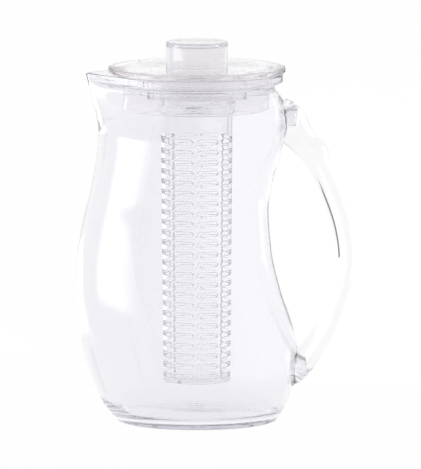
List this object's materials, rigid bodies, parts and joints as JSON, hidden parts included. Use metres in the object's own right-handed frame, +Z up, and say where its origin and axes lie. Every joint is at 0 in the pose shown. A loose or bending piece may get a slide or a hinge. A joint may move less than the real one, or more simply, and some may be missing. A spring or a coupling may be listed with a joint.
{
  "type": "fruit infuser pitcher",
  "caption": "Clear bowed pitcher with a spout, a bonded loop handle, a round lid that lifts and turns on a seal, and a slotted infuser tube screwed in under the lid.",
  "frame": {"origin": "centre of the overall box on the surface that the jug stands on; the infuser's axis stands 13.0 mm from it towards the spout", "axes": "+Z up, spout towards -X, handle towards +X, +Y across"},
  "size_m": [0.1952, 0.1502, 0.2667],
  "materials": {
    "clear_jug": "clear polished plastic",
    "clear_handle": "clear polished plastic",
    "clear_lid": "clear polished plastic",
    "clear_infuser": "clear polished plastic",
    "seal": "clear silicone, satin"
  },
  "bodies": {
    "jug": {"jug_body": "clear_jug", "handle": "clear_handle"},
    "seal": {"lid_seal": "seal"},
    "lid_assembly": {"lid": "clear_lid", "lid_knob": "clear_lid", "infuser_socket": "clear_lid"},
    "infuser": {"infuser_tube": "clear_infuser", "infuser_end_cap": "clear_infuser"},
    "collar": {"infuser_collar": "clear_infuser"}
  },
  "joints": [
    {"name": "lid_lift", "type": "slide", "parent": "jug", "child": "seal", "axis": [0, 0, 1], "range_m": [0, 0.25]},
    {"name": "lid_turn", "type": "hinge", "parent": "seal", "child": "lid_assembly", "pos_m": [-0.013, 0, 0.2452], "axis": [0, 0, 1], "continuous": true},
    {"name": "infuser_drop", "type": "slide", "parent": "lid_assembly", "child": "infuser", "axis": [0, 0, -1], "range_m": [0, 0.008]},
    {"name": "collar_turn", "type": "hinge", "parent": "infuser", "child": "collar", "pos_m": [-0.013, 0, 0.2262], "axis": [0, 0, -1], "range_deg": [0, 720]}
  ],
  "couplings": [
    {"joint": "collar_turn", "follows": "infuser_drop", "rad_per_m": 1570.8}
  ]
}
